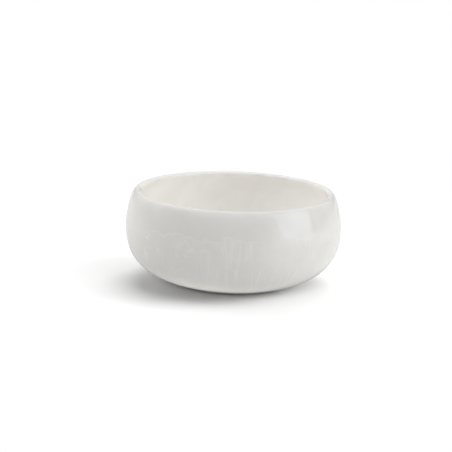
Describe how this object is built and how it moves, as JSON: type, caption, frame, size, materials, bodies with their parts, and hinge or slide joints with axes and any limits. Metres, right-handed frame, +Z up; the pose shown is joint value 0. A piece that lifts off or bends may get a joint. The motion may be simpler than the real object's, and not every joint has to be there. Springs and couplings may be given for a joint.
{
  "type": "shaving bowl",
  "caption": "Round, full-bellied glazed porcelain bowl with an inturned rounded lip, a dished floor and a low foot ring, for working up shaving lather with a brush.",
  "frame": {"origin": "centre of the foot ring's flat underside, on the table", "axes": "+Z up the bowl's turning axis, out of the mouth; X and Y lie in the table, and the bowl is round, so either may be its front"},
  "size_m": [0.12, 0.12, 0.051],
  "materials": {
    "glazed_porcelain": "warm white clear glaze, gloss, over a white porcelain body; the flat of the foot ring is bare"
  },
  "bodies": {
    "root": {"bowl": "glazed_porcelain"}
  },
  "joints": []
}
